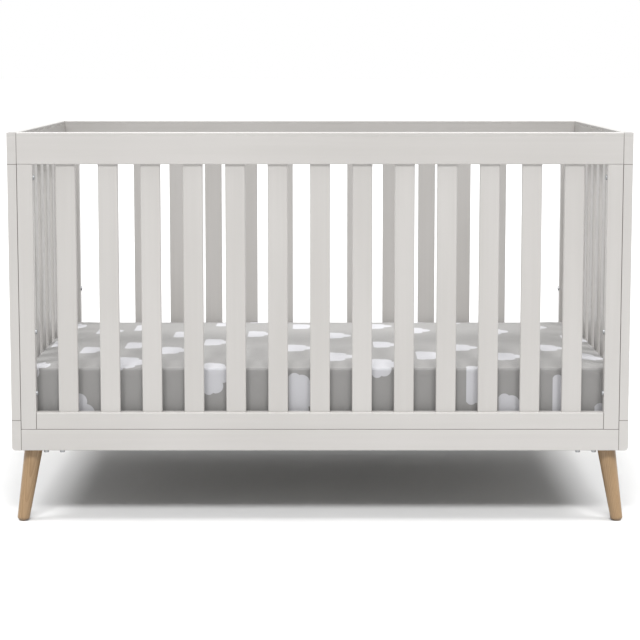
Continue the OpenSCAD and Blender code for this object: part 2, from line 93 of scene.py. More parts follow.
class Graph:
    """A node tree that is being wired, for a finish or for a shape."""

    def __init__(self, tree):
        self.tree = tree

    def put(self, socket, value):
        if isinstance(value, Socket):
            self.tree.links.new(value.link, socket)
        else:
            socket.default_value = value

    def add(self, kind, settings=None, inputs=None, out=0):
        """Any node: its settings come first, then its sockets' values or links."""
        node = self.tree.nodes.new(kind)
        for name, value in (settings or {}).items():
            setattr(node, name, value)
        for key, value in (inputs or {}).items():
            self.put(node.inputs[key], value)
        return Socket(self, node.outputs[out])

    def maths(self, operation, *values):
        return self.add("ShaderNodeMath", {"operation": operation}, dict(enumerate(values)))

    def vector_maths(self, operation, *values, out=0):
        return self.add("ShaderNodeVectorMath", {"operation": operation},
                        dict(enumerate(values)), out)

    def vector(self, x=0.0, y=0.0, z=0.0):
        return self.add("ShaderNodeCombineXYZ", None, {0: x, 1: y, 2: z})

    def parts(self, vector):
        split = self.add("ShaderNodeSeparateXYZ", None, {0: vector})
        return [Socket(self, s) for s in split.link.node.outputs]

    def smooth(self, value, low, high, to_low=0.0, to_high=1.0):
        return self.add("ShaderNodeMapRange", {"interpolation_type": "SMOOTHSTEP"},
                        {0: value, 1: low, 2: high, 3: to_low, 4: to_high})


class Finish(Graph):
    """A material. Fixed numbers go straight onto the shader's own sockets."""

    def __init__(self, name, **fixed):
        self.material = bpy.data.materials.new(name)
        self.material.use_nodes = True
        super().__init__(self.material.node_tree)
        self.shader = self.tree.nodes["Principled BSDF"]
        self.feed(**fixed)

    def feed(self, **sockets):
        for name, value in sockets.items():
            self.put(self.shader.inputs[name.replace("_", " ")], value)

    def where(self):
        return self.add("ShaderNodeTexCoord", out=3)

    def stretched(self, place, scale):
        return self.vector_maths("MULTIPLY", place, scale)

    def clouded(self, place, scale, detail=3.0, rough=0.5, warp=0.0):
        return self.add("ShaderNodeTexNoise", None, {
            "Vector": place, "Scale": scale, "Detail": detail, "Roughness": rough,
            "Distortion": warp})

    def blend(self, share, first, second):
        return self.add("ShaderNodeMix", {"data_type": "RGBA"}, {
            0: share, 6: first, 7: second}, out=2)

    def relief(self, height, depth, strength=1.0):
        return self.add("ShaderNodeBump", None, {
            "Height": height, "Distance": depth, "Strength": strength})


# Where the pieces meet: end panels and side panels, rails and stiles, rails and aprons.
inner_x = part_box("front_top_rail")[1].x
inner_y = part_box("back_top_rail")[0].y
side_stile_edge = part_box("front_right_stile")[0].x
end_stile_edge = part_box("right_end_back_stile")[0].y
top_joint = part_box("front_top_rail")[0].z
end_low_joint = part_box("right_end_bottom_rail")[1].z
apron_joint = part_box("front_apron")[1].z
bottom_rail_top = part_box("front_bottom_rail")[1].z
gap_width, gap_core, edge_round, hair = 0.0010, 0.0004, 0.0024, 0.0002


def painted_joint_shade(paint, place):
    """1 in the fine gaps between painted pieces, where their shade is painted in as a dark line.
    """
    x, y, z = paint.parts(place)
    x, y = paint.maths("ABSOLUTE", x), paint.maths("ABSOLUTE", y)

    def gap(value, at):
        return paint.smooth(paint.maths("ABSOLUTE", value - at), gap_width, gap_core)

    on_top = (z > cad_high.z - edge_round) * (y > inner_y)
    corner = gap(x, inner_x) * paint.maths("MAXIMUM", y > cad_high.y - edge_round, on_top)
    on_end = x > inner_x - hair
    on_side = y > inner_y + hair
    end_joint = paint.maths("MAXIMUM", gap(z, top_joint), gap(z, end_low_joint))
    end_joint = end_joint * on_end * (y > end_stile_edge)
    side_joint = gap(z, apron_joint) * on_side * (x < inner_x + hair)
    rail_end = gap(x, side_stile_edge) * on_side * (z < bottom_rail_top) * (z > apron_joint)
    found = paint.maths("MAXIMUM", corner, end_joint)
    return paint.maths("MAXIMUM", found, paint.maths("MAXIMUM", side_joint, rail_end))


def painted(name, grain, place_of=None, polish=None, joints=True):
    """Sprayed paint over wood whose grain runs along X, Y or Z (0, 1 or 2)."""
    paint = Finish(name)
    place = place_of(paint) if place_of else paint.where()
    along = [55.0, 55.0, 55.0]
    along[grain] = 1.6
    fibre = paint.clouded(paint.stretched(place, along), 1.0, 5.0, 0.62, 0.4)
    streak = paint.clouded(paint.stretched(place, [a * 5 for a in along]), 1.0, 2.0)
    peel = paint.clouded(place, 520.0, 1.0)
    patch = paint.clouded(place, 2.3, 2.0)
    handled = paint.clouded(place, 9.0, 4.0, 0.7)
    tone = paint.smooth(patch * 0.6 + fibre * 0.4, 0.3, 0.7)
    colour = paint.blend(tone, (0.402, 0.388, 0.373, 1), (0.436, 0.422, 0.408, 1))
    nibs = paint.smooth(streak, 0.70, 0.78)
    colour = paint.blend(nibs * 0.16, colour, (0.386, 0.369, 0.349, 1))
    gloss = 0.26 + fibre * 0.06 + paint.smooth(handled, 0.45, 0.75) * 0.08
    if polish:
        height = paint.parts(place)[2]
        gloss = gloss - paint.smooth(height, polish - 0.012, polish) * 0.09
    surface = fibre * 0.14 + streak * 0.14 + peel * 0.5
    if joints:
        lines = painted_joint_shade(paint, place)
        # painted shade: the fine gaps between pieces are coloured almost black, standing in for
        # the shade that falls in them
        colour = paint.blend(lines * 0.85, colour, (0.085, 0.075, 0.065, 1))
        gloss = gloss + lines * 0.4
    paint.feed(Base_Color=colour, Roughness=gloss, Normal=paint.relief(surface, 0.00020, 0.55),
               Specular_IOR_Level=0.5)
    return paint.material


def give(material, *names):
    for name in names:
        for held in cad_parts[name].material_slots:
            held.material = material


paint_x = painted("satin_paint_along_x", 0)
paint_y = painted("satin_paint_along_y", 1)
paint_z = painted("satin_paint_along_z", 2)
paint_x_top = painted("satin_paint_top_rail_x", 0, polish=cad_high.z)
paint_y_top = painted("satin_paint_top_rail_y", 1, polish=cad_high.z)
for side in ("left", "right"):
    give(paint_y_top, side + "_end_top_rail")
    give(paint_y, side + "_end_bottom_rail")
    give(paint_z, side + "_end_front_stile", side + "_end_back_stile")

# ---------------------------------------------------------------- side panels and aprons
# The front and back panels stand between the end panels: a wide top rail, two stiles and a
# low bottom rail, with a deeper apron below that ties the end panels together.
for side in ("front", "back"):
    give(paint_x_top, side + "_top_rail")
    give(paint_x, side + "_bottom_rail", side + "_apron")
    give(paint_z, side + "_left_stile", side + "_right_stile")


# ---------------------------------------------------------------- slats
# Flat slats with rounded edges, planed from poplar and sprayed before assembly. Their ends
# stand in housings in the rails, a hair slack, and each one took the paint a bit differently.
class Recipe(Graph):
    """A Geometry Nodes tree with named sizes, run once for each piece it makes."""

    def __init__(self, name, **sizes):
        super().__init__(bpy.data.node_groups.new(name, "GeometryNodeTree"))
        face = self.tree.interface
        kinds = {int: "Int", float: "Float", tuple: "Vector"}
        face.new_socket(name="Places", in_out="INPUT", socket_type="NodeSocketGeometry")
        for label, size in sizes.items():
            made = face.new_socket(name=label, in_out="INPUT",
                                   socket_type="NodeSocket" + kinds[type(size)])
            made.default_value = size
        face.new_socket(name="Made", in_out="OUTPUT", socket_type="NodeSocketGeometry")
        self.inlet = self.tree.nodes.new("NodeGroupInput")
        self.outlet = self.tree.nodes.new("NodeGroupOutput")

    def size(self, label):
        return Socket(self, self.inlet.outputs[label])

    def line(self, start, end):
        return self.add("GeometryNodeCurvePrimitiveLine", None, {"Start": start, "End": end})

    def circle(self, resolution, radius=1.0):
        return self.add("GeometryNodeCurvePrimitiveCircle", None, {
            "Resolution": resolution, "Radius": radius})

    def swept(self, curve, profile, scale=1.0, caps=True):
        return self.add("GeometryNodeCurveToMesh", None, {
            "Curve": curve, "Profile Curve": profile, "Scale": scale, "Fill Caps": caps})

    def copies(self, points, instance, **how):
        return self.add("GeometryNodeInstanceOnPoints", None, {
            "Points": points, "Instance": instance, **how})

    def placed(self, geometry, **how):
        return self.add("GeometryNodeTransform", None, {"Geometry": geometry, **how})

    def stored(self, geometry, name, value, **settings):
        return self.add("GeometryNodeStoreNamedAttribute", settings, {
            "Geometry": geometry, "Name": name, "Value": value})

    def chance(self, low, high, seed):
        return self.add("FunctionNodeRandomValue", {"data_type": "FLOAT"}, {
            2: low, 3: high, "Seed": seed}, out=1)

    def smoothed(self, mesh):
        return self.add("GeometryNodeSetShadeSmooth", {"domain": "FACE"}, {0: mesh, 2: True})

    def shaded(self, mesh, angle=0.6):
        """Smooth, with a crease at every edge that turns more than the angle."""
        bend = self.add("GeometryNodeInputMeshEdgeAngle")
        return self.add("GeometryNodeSetShadeSmooth", {"domain": "EDGE"},
                        {0: self.smoothed(mesh), 1: bend > angle, 2: False})

    def close(self, made, material):
        made = self.add("GeometryNodeRealizeInstances", None, {0: made})
        made = self.add("GeometryNodeSetMaterial", None, {0: made, 2: material})
        self.put(self.outlet.inputs[0], made)

    def piece(self, name, body, places=((0, 0, 0),), lines=(), facing=None, **sizes):
        """Runs the recipe at these places and leaves a plain mesh that rides on the body."""
        start = bpy.data.meshes.new(name)
        start.from_pydata([tuple(p) for p in places], list(lines), [])
        if facing:
            way = start.attributes.new("facing", "FLOAT_VECTOR", "POINT")
            way.data.foreach_set("vector", [c for f in facing for c in f])
        made = bpy.data.objects.new(name, start)
        scene.collection.objects.link(made)
        run = made.modifiers.new("making", "NODES")
        run.node_group = self.tree
        for item in self.tree.interface.items_tree:
            if item.item_type == "SOCKET" and item.in_out == "INPUT" and item.name in sizes:
                run[item.identifier] = sizes[item.name]
        depsgraph = bpy.context.evaluated_depsgraph_get()
        mesh = bpy.data.meshes.new_from_object(
            made.evaluated_get(depsgraph), preserve_all_data_layers=True, depsgraph=depsgraph)
        made.modifiers.clear()
        made.data = mesh
        mesh.name = name
        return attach(made, body)


def slat_place(paint):
    """Moves the grain to another place for each slat, by the number stored on it."""
    own = paint.add("ShaderNodeAttribute", {"attribute_name": "slat"}, out=2)
    return paint.vector_maths("ADD", paint.where(), paint.vector(own * 7, own * 5, own * 9))


slat_paint = painted("satin_paint_slats", 2, slat_place, joints=False)
slat_width, slat_thick, slat_ease = 0.044, 0.012, 0.003
side_pitch, end_pitch = 0.09321, 0.09125
slats = Recipe("slat_row", Count=13, Pitch=side_pitch, Width=slat_width, Thick=slat_thick,
               Ease=slat_ease, Low=0.238, High=0.810, Centre=(0.0, 0.0, 0.0), Turn=0.0)
outline = slats.add("GeometryNodeCurvePrimitiveQuadrilateral", None, {
    "Width": slats.size("Width"), "Height": slats.size("Thick")})
outline = slats.add("GeometryNodeFilletCurve", {"mode": "POLY"}, {
    "Curve": outline, "Count": 5, "Radius": slats.size("Ease"), "Limit Radius": True})
length = slats.line(slats.vector(0, 0, slats.size("Low")), slats.vector(0, 0, slats.size("High")))
one = slats.swept(length, outline)
run_out = slats.size("Pitch") * (slats.size("Count") - 1) * -0.5
row = slats.add("GeometryNodeMeshLine", None, {
    "Count": slats.size("Count"), "Start Location": slats.vector(run_out),
    "Offset": slats.vector(slats.size("Pitch"))})
row = slats.copies(row, slats.shaded(one))
row = slats.stored(row, "slat", slats.chance(0.0, 1.0, 4), domain="INSTANCE")
row = slats.add("GeometryNodeRealizeInstances", None, {0: row})
row = slats.placed(row, Translation=slats.size("Centre"),
                   Rotation=slats.vector(0, 0, slats.size("Turn")))
slats.close(row, slat_paint)
for name, turn, count, pitch in (("front", 0.0, 13, side_pitch), ("back", 0.0, 13, side_pitch),
                                 ("left_end", math.pi / 2, 7, end_pitch),
                                 ("right_end", math.pi / 2, 7, end_pitch)):
    low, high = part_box(name + "_slats")
    middle = (low + high) / 2
    made = slats.piece(name + "_slat_set", "crib_frame", Count=count, Pitch=pitch, Low=low.z,
                       High=high.z, Centre=(middle.x, middle.y, 0.0), Turn=turn)
    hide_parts(name + "_slats")

# ---------------------------------------------------------------- corner and leg blocks
# Blocks under each corner: one screwed to the apron from inside, and the thicker one under it
# that takes the leg. They are sawn, primed and sprayed once, so their paint is thinner.
block_paint = Finish("thin_paint_blocks")
place = block_paint.where()
sawn = block_paint.clouded(block_paint.stretched(place, (4, 160, 60)), 1.0, 4.0, 0.6)
worn = block_paint.clouded(place, 34.0, 4.0, 0.65)
bare = block_paint.smooth(worn * 0.5 + sawn * 0.5, 0.60, 0.72)
block_paint.feed(
    Base_Color=block_paint.blend(bare * 0.5, (0.420, 0.405, 0.385, 1), (0.340, 0.275, 0.200, 1)),
    Roughness=0.55 + sawn * 0.2,
    Normal=block_paint.relief(sawn, 0.0005, 0.7))
for corner in ("front_left", "front_right", "back_left", "back_right"):
    give(block_paint.material, corner + "_corner_block", corner + "_leg_block")

# ---------------------------------------------------------------- legs
# Four turned legs of natural oak with a satin lacquer, splayed out at 45 degrees. Each tapers
# to a small rounded foot and is sawn level at the top where it meets its block.
oak = Finish("lacquered_oak")
wood = oak.add("ShaderNodeAttribute", {"attribute_name": "wood"}, out=1)
bend = oak.clouded(oak.stretched(wood, (14, 14, 3)), 1.0, 3.0)
from_pith = oak.vector_maths("LENGTH", oak.stretched(
    oak.vector_maths("ADD", wood, (0.031, 0.052, 0.0)), (1, 1, 0.03)), out=1)
ring = oak.maths("FRACT", (from_pith + bend * 0.011) * 310.0)
late = oak.smooth(ring, 0.35, 0.95) * oak.smooth(ring, 1.0, 0.96)
fibre = oak.clouded(oak.stretched(wood, (420, 420, 9)), 1.0, 4.0, 0.6)
pore = oak.smooth(oak.clouded(oak.stretched(wood, (1500, 1500, 42)), 1.0, 2.0), 0.60, 0.72)
tint = oak.clouded(oak.stretched(wood, (30, 30, 5)), 1.0, 2.0)
colour = oak.blend(late * 0.75, (0.284, 0.188, 0.100, 1), (0.207, 0.127, 0.060, 1))
colour = oak.blend(oak.smooth(fibre, 0.3, 0.75) * 0.45, colour, (0.197, 0.119, 0.055, 1))
colour = oak.blend(oak.smooth(tint, 0.35, 0.7) * 0.35, colour, (0.316, 0.205, 0.106, 1))
colour = oak.blend(pore * (0.35 + late * 0.3), colour, (0.110, 0.060, 0.027, 1))
reach = oak.parts(oak.add("ShaderNodeAttribute", {"attribute_name": "up"}, out=1))[2]
colour = oak.blend(oak.smooth(reach, 0.010, 0.002) * 0.45, colour, (0.141, 0.084, 0.042, 1))
oak.feed(Base_Color=colour, Roughness=0.38 + fibre * 0.14 + pore * 0.12,
         Normal=oak.relief(fibre * 0.4 - pore * 0.6, 0.00025, 0.6),
         Coat_Weight=0.12, Coat_Roughness=0.22)

foot_low, top_high = 0.003, 0.158
legs = Recipe("turned_leg", Length=0.16117, Top_Radius=0.020, Foot_Radius=0.0135, Rounding=0.007,
              Tilt=math.radians(11.393), Heading=0.0, Foot=(0.0, 0.0, 0.0),
              Board=(0.0, 0.0, 0.0), Floor_Gap=foot_low, Joint_Height=top_high)
height = legs.maths("ADD", legs.size("Length"), 0.006)
spine = legs.line((0, 0, 0), legs.vector(0, 0, height))
spine = legs.add("GeometryNodeResampleCurve", {"mode": "COUNT"}, {"Curve": spine, "Count": 120})
up = Socket(legs, legs.add("GeometryNodeSplineParameter").link.node.outputs["Length"])
rounding = legs.size("Rounding")
taper = (legs.size("Top_Radius") - legs.size("Foot_Radius")) / (legs.size("Length") - rounding)
below = legs.maths("MAXIMUM", rounding - up, 0.0)
turned = legs.size("Foot_Radius") + taper * legs.maths("MAXIMUM", up - rounding, 0.0)
turned = turned - rounding + legs.maths("SQRT", legs.maths(
    "MAXIMUM", rounding * rounding - below * below, 0.0))
turned = legs.maths("MINIMUM", turned, legs.size("Top_Radius"))
leg = legs.swept(spine, legs.circle(64), turned)
spot = legs.add("GeometryNodeInputPosition")
leg = legs.stored(leg, "wood", legs.vector_maths("ADD", spot, legs.size("Board")),
                  data_type="FLOAT_VECTOR")
across, aside, upward = legs.parts(spot)
tilt = legs.size("Tilt")
lean = across * legs.maths("SINE", tilt)
lowest = (legs.size("Floor_Gap") + lean) / legs.maths("COSINE", tilt)
highest = (legs.size("Joint_Height") + lean) / legs.maths("COSINE", tilt)
upward = legs.maths("MINIMUM", legs.maths("MAXIMUM", upward, lowest), highest)
leg = legs.add("GeometryNodeSetPosition", None, {
    "Geometry": leg, "Position": legs.vector(across, aside, upward)})
leg = legs.placed(legs.shaded(leg, 0.7), Translation=legs.size("Foot"),
                  Rotation=legs.vector(0, tilt, legs.size("Heading")))
leg = legs.stored(leg, "up", legs.add("GeometryNodeInputPosition"), data_type="FLOAT_VECTOR")
leg = legs.add("GeometryNodeMergeByDistance", None, {"Geometry": leg, "Distance": 0.00002})
legs.close(leg, oak.material)
glide_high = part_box("leg_glides")[1]
glide_radius = 0.009
foot_x, foot_y = glide_high.x - glide_radius, glide_high.y - glide_radius
board_step = (0.013, -0.009, 0.4)
for index, (side, way_x, way_y, heading) in enumerate((
        ("front_left", -1, -1, 45), ("front_right", 1, -1, 135),
        ("back_right", 1, 1, 225), ("back_left", -1, 1, 315))):
    made = legs.piece(side + "_oak_leg", "crib_frame", Heading=math.radians(heading),
                      Foot=(way_x * foot_x, way_y * foot_y, 0.0),
                      Board=(board_step[0] * index, board_step[1] * index, board_step[2] * index))
    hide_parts(side + "_leg")

# ---------------------------------------------------------------- glides
# Nylon discs nailed under the feet, dished a little round the nail, the colour of the wood and
# grey from the floor.
nylon = Finish("moulded_nylon", Subsurface_Weight=0.05)
place = nylon.where()
scuff = nylon.clouded(nylon.stretched(place, (90, 240, 90)), 1.0, 5.0, 0.7)
mould = nylon.clouded(place, 1600.0, 2.0)
nylon.feed(Base_Color=nylon.blend(nylon.smooth(scuff, 0.5, 0.7), (0.205, 0.155, 0.110, 1),
                                  (0.120, 0.095, 0.075, 1)),
           Roughness=0.42 + scuff * 0.25,
           Normal=nylon.relief(mould * 0.5 + scuff * 0.5, 0.0002, 0.6))
give(nylon.material, "leg_glides")

# ---------------------------------------------------------------- bolts and screws
# Zinc-plated steel fasteners with a hexagon socket: panel bolts through the side stiles, bolts
# up through the leg blocks, bolts in the aprons' ends and the shoulder bolts of the support.
zinc = Finish("zinc_plated_steel", Metallic=1.0)
place = zinc.where()
spangle = zinc.clouded(place, 420.0, 2.0)
brushed = zinc.clouded(zinc.stretched(place, (900, 900, 60)), 1.0, 3.0)
colour = zinc.blend(spangle, (0.30, 0.31, 0.32, 1), (0.42, 0.43, 0.44, 1))
zinc.feed(Base_Color=zinc.blend(zinc.smooth(brushed, 0.55, 0.8) * 0.5, colour,
                                (0.24, 0.235, 0.22, 1)),
          Roughness=0.34 + spangle * 0.2, Normal=zinc.relief(brushed, 0.00008, 0.5))

bolts = Recipe("socket_bolt", Head_Radius=0.0055, Head_Height=0.003, Shank_Radius=0.003,
               Shank_Length=0.045, Key_Radius=0.0023, Key_Depth=0.002, Thread_Pitch=0.001,
               Thread_Depth=0.00035)
head_height = bolts.size("Head_Height")
head = bolts.add("GeometryNodeMeshCylinder", {"fill_type": "NGON"}, {
    "Vertices": 32, "Side Segments": 4, "Radius": bolts.size("Head_Radius"),
    "Depth": head_height})
spot = bolts.add("GeometryNodeInputPosition")
top_ring = bolts.parts(spot)[2] > head_height * 0.45
head = bolts.add("GeometryNodeSetPosition", None, {
    "Geometry": head, "Selection": top_ring,
    "Position": bolts.vector_maths("MULTIPLY", spot, (0.86, 0.86, 1.0))})
key = bolts.add("GeometryNodeMeshCylinder", {"fill_type": "NGON"}, {
    "Vertices": 6, "Side Segments": 1, "Radius": bolts.size("Key_Radius"),
    "Depth": bolts.size("Key_Depth") * 2})
key = bolts.placed(key, Translation=bolts.vector(0, 0, head_height * 0.5))
head = bolts.add("GeometryNodeMeshBoolean", {"operation": "DIFFERENCE", "solver": "EXACT"}, {
    "Mesh 1": head, "Mesh 2": key})
head = bolts.placed(head, Translation=bolts.vector(0, 0, head_height * 0.5))
turns = bolts.size("Shank_Length") / bolts.size("Thread_Pitch")
shank_line = bolts.line((0, 0, 0), bolts.vector(0, 0, bolts.size("Shank_Length") * -1))
shank_line = bolts.add("GeometryNodeResampleCurve", {"mode": "COUNT"}, {
    "Curve": shank_line, "Count": bolts.maths("MULTIPLY", turns, 2.0) + 1})
step = Socket(bolts, bolts.add("GeometryNodeSplineParameter").link.node.outputs["Index"])
groove = bolts.maths("PINGPONG", step, 1.0) * bolts.size("Thread_Depth")
shank = bolts.swept(shank_line, bolts.circle(14), bolts.size("Shank_Radius") - groove)
bolt = bolts.add("GeometryNodeJoinGeometry", None, {0: bolts.shaded(head, 0.5)})
bolts.tree.links.new(shank.link, bolt.link.node.inputs[0])
facing = bolts.add("GeometryNodeInputNamedAttribute", {"data_type": "FLOAT_VECTOR"}, {0: "facing"})
own_turn = bolts.add("FunctionNodeRotateRotation", {"rotation_space": "LOCAL"}, {
    0: bolts.add("FunctionNodeAlignRotationToVector", {"axis": "Z"}, {"Vector": facing}),
    1: bolts.vector(0, 0, bolts.chance(0.0, math.tau, 11))})
bolts.close(bolts.copies(bolts.size("Places"), bolt, Rotation=own_turn), zinc.material)

corners = [(x, y) for x in (-1, 1) for y in (-1, 1)]
side_y = -sum(corner.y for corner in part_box("front_apron")) / 2
block_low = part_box("front_right_leg_block")[0]
panel_bolt_levels = (0.290, 0.428, 0.771)
places = [(x * side_stile_edge, y * side_y, z) for x, y in corners for z in panel_bolt_levels]
made = bolts.piece("panel_bolt_set", "crib_frame", places,
                   facing=[(-x, 0, 0) for x, y in corners for z in panel_bolt_levels])
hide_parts("panel_bolts")
leg_bolt_xs, leg_bolt_y, washer_thick = (0.5795, 0.6155), inner_y - 0.016, 0.0016
places = [(x * bolt_x, y * leg_bolt_y, block_low.z - washer_thick)
          for x, y in corners for bolt_x in leg_bolt_xs]
made = bolts.piece("leg_block_bolt_set", "crib_frame", places, facing=[(0, 0, -1)] * 8,
                   Head_Height=0.006, Shank_Length=0.030, Key_Radius=0.0028, Key_Depth=0.0035)
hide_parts("leg_block_bolts")
apron_bolt_z, recess = 0.190, 0.004
places = [(x * (cad_high.x - recess), y * side_y, apron_bolt_z) for x, y in corners]
made = bolts.piece("apron_bolt_set", "crib_frame", places, facing=[(x, 0, 0) for x, y in corners],
                   Head_Height=0.0035, Shank_Length=0.044)
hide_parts("apron_bolts")
give(zinc.material, "shoulder_bolts", "leg_hanger_bolts", "corner_block_screws",
     "leg_block_washers")

# ---------------------------------------------------------------- inserts and dowels
# Threaded zinc-alloy sleeves and barrel nuts with a yellow finish, and fluted beech dowels:
# they are inside the joints and show only where a bolt or a piece is taken out.
brass = Finish("yellow_zinc_alloy", Metallic=1.0)
place = brass.where()
cast = brass.clouded(place, 600.0, 3.0)
brass.feed(Base_Color=brass.blend(cast, (0.58, 0.43, 0.17, 1), (0.74, 0.57, 0.26, 1)),
           Roughness=0.3 + cast * 0.25, Normal=brass.relief(cast, 0.0001, 0.6))
give(brass.material, "leg_inserts", "corner_block_inserts", "panel_bolt_inserts",
     "apron_barrel_nuts", "shoulder_bolt_inserts")
beech = Finish("beech_dowels")
place = beech.where()
fleck = beech.clouded(beech.stretched(place, (60, 700, 700)), 1.0, 4.0)
beech.feed(Base_Color=beech.blend(fleck, (0.62, 0.43, 0.24, 1), (0.48, 0.31, 0.16, 1)),
           Roughness=0.6 + fleck * 0.2, Normal=beech.relief(fleck, 0.0003, 0.7))
give(beech.material, "wood_dowels")

# ---------------------------------------------------------------- support frame
# A welded frame of square steel tube with a dark grey powder coat. It carries two layers of
# wire and hangs by four slotted plates on the shoulder bolts, at one of three levels.
powder = Finish("powder_coated_steel")
place = powder.where()
grit = powder.clouded(place, 950.0, 2.0, 0.6)
thin = powder.clouded(place, 11.0, 4.0, 0.6)
powder.feed(Base_Color=powder.blend(powder.smooth(thin, 0.35, 0.75), (0.062, 0.064, 0.067, 1),
                                    (0.090, 0.092, 0.095, 1)),
            Roughness=0.46 + grit * 0.16, Normal=powder.relief(grit, 0.00018, 0.8),
            Coat_Weight=0.08, Coat_Roughness=0.3)
give(powder.material, "support_front_tube", "support_back_tube", "support_left_tube",
     "support_right_tube", "support_cross_tubes", "support_hook_brackets")
bracket_x, bracket_y, bracket_z = 0.648, 0.308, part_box("support_hook_brackets")[0].z
places = [(x * bracket_x, y * bracket_y, bracket_z) for x, y in corners]
made = bolts.piece("bracket_bolt_set", "mattress_support", places, facing=[(0, 0, -1)] * 4,
                   Head_Height=0.004, Shank_Length=0.012)
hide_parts("support_bracket_bolts")

# Wires of drawn steel, resistance-welded where they cross, coated with the frame. Each weld
# leaves a small flattened nugget.
wire_radius = 0.0015
wires = Recipe("welded_wires", Wire_Radius=wire_radius, Length=1.31, Turn=0.0)
half = wires.size("Length") * 0.5
wire = wires.line(wires.vector(half * -1), wires.vector(half))
wire = wires.swept(wire, wires.circle(12, wires.size("Wire_Radius")))
wire = wires.copies(wires.size("Places"), wires.shaded(wire),
                    Rotation=wires.vector(0, 0, wires.size("Turn")))
wires.close(wire, powder.material)
low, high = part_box("support_long_wires")
wire_span = high.y - low.y - 2 * wire_radius
long_ys = [low.y + wire_radius + i * wire_span / 8 for i in range(9)]
long_z = (low.z + high.z) / 2
made = wires.piece("long_wire_set", "mattress_support", [(0, y, long_z) for y in long_ys],
                   Length=high.x - low.x)
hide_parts("support_long_wires")
low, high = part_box("support_cross_wires")
tube_width = 0.020
bay = (2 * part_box("support_right_tube")[1].x - 4 * tube_width) / 3
cross_xs = [b * (bay + tube_width) + j * bay / 4 - bay / 2 for b in (-1, 0, 1) for j in (1, 2, 3)]
made = wires.piece("cross_wire_set", "mattress_support",
                   [(x, 0, (low.z + high.z) / 2) for x in cross_xs],
                   Length=high.y - low.y, Turn=math.pi / 2)
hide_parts("support_cross_wires")

nuggets = Recipe("weld_nuggets", Radius=0.0021, Flatness=0.72)
ball = nuggets.add("GeometryNodeMeshIcoSphere", None, {
    "Radius": nuggets.size("Radius"), "Subdivisions": 2})
ball = nuggets.placed(ball, Scale=nuggets.vector(1.0, 1.0, nuggets.size("Flatness")))
swell = nuggets.chance(0.8, 1.2, 7)
dots = nuggets.copies(nuggets.size("Places"), nuggets.smoothed(ball),
                      Scale=nuggets.vector(swell, swell, 1.0))
nuggets.close(dots, powder.material)
tube_xs = [s * (bay + tube_width) / 2 for s in (-1, 1)]
tube_xs += [s * (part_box("support_right_tube")[1].x - tube_width / 2) for s in (-1, 1)]
made = nuggets.piece("weld_nugget_set", "mattress_support",
                     [(x, y, long_z - wire_radius) for x in cross_xs + tube_xs for y in long_ys])

# ---------------------------------------------------------------- mattress
# A foam crib mattress: a full, slightly crowned pad in white cotton ticking with a border,
# piped along both edges and quilted below. It is pumped up by cloth simulation.
low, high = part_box("mattress")
side_give, crown_room = 0.0022, 0.0012
half_x, half_y = high.x - side_give, high.y - side_give
floor_z, roof_z = low.z, high.z - crown_room
corner_r, edge_r = 0.030, 0.007
steps = [0.0, 0.0022, 0.0047, 0.0078, 0.0115, 0.0160, 0.0225, corner_r]


def spaced(half_size, gap):
    """Grid lines that crowd towards both ends and are even between."""
    inner = half_size - steps[-1]
    count = round(2 * inner / gap)
    even = [-inner + 2 * inner * i / count for i in range(1, count)]
    return [-half_size + s for s in steps] + even + [half_size - s for s in reversed(steps)]


cell = 0.0100
half_z = (roof_z - floor_z) / 2
grid_x, grid_y, grid_z = spaced(half_x, cell), spaced(half_y, cell), spaced(half_z, cell)
number, box_points, quads, quad_sides = {}, [], [], []


def corner_number(i, j, k):
    if (i, j, k) not in number:
        number[(i, j, k)] = len(box_points)
        box_points.append((grid_x[i], grid_y[j], grid_z[k]))
    return number[(i, j, k)]


nx, ny, nz = len(grid_x) - 1, len(grid_y) - 1, len(grid_z) - 1
for i in range(nx):
    for j in range(ny):
        ring = [(i, j), (i + 1, j), (i + 1, j + 1), (i, j + 1)]
        quads.append([corner_number(a, b, nz) for a, b in ring])
        quads.append([corner_number(a, b, 0) for a, b in reversed(ring)])
        quad_sides += ["top", "bottom"]
for k in range(nz):
    for i in range(nx):
        ring = [(i, k), (i + 1, k), (i + 1, k + 1), (i, k + 1)]
        quads.append([corner_number(a, 0, c) for a, c in ring])
        quads.append([corner_number(a, ny, c) for a, c in reversed(ring)])
        quad_sides += ["front", "back"]
    for j in range(ny):
        ring = [(j, k), (j + 1, k), (j + 1, k + 1), (j, k + 1)]
        quads.append([corner_number(nx, b, c) for b, c in ring])
        quads.append([corner_number(0, b, c) for b, c in reversed(ring)])
        quad_sides += ["right", "left"]
box_points = np.array(box_points)


def rounded(points):
    """The box grid with its four upright corners and its top and bottom edges rounded."""
    size = np.array([half_x, half_y, half_z])
    gap = size - np.abs(points)
    from_edge = np.minimum(gap[:, 0], gap[:, 1])
    a = np.maximum(edge_r - from_edge, 0)
    b = np.maximum(edge_r - gap[:, 2], 0)
    reach = np.hypot(a, b)
    pull = np.where(reach > 0, np.maximum(a, b) / np.maximum(reach, 1e-9), 1)
    moved_in = np.where((a > 0) & (b > 0), edge_r - a * pull - from_edge, 0)
    drop = np.where((a > 0) & (b > 0), edge_r - b * pull - gap[:, 2], 0)
    plan = np.maximum(np.abs(points[:, :2]) - (size[:2] - corner_r), 0)
    in_corner = (plan > 0).all(1)
    spread = np.linalg.norm(plan, axis=1)
    squeeze = np.where(in_corner, plan.max(1) / np.maximum(spread, 1e-9), 1)[:, None]
    heading = np.where(in_corner[:, None], plan / np.maximum(spread, 1e-9)[:, None],
                       np.stack([gap[:, 0] <= gap[:, 1], gap[:, 0] > gap[:, 1]], 1))
    flat = np.where(in_corner[:, None], size[:2] - corner_r + plan * squeeze,
                    np.abs(points[:, :2])) - heading * moved_in[:, None]
    up_size = np.abs(points[:, 2]) - drop
    made = np.sign(points) * np.column_stack([flat, up_size])
    return made + [0, 0, (floor_z + roof_z) / 2]


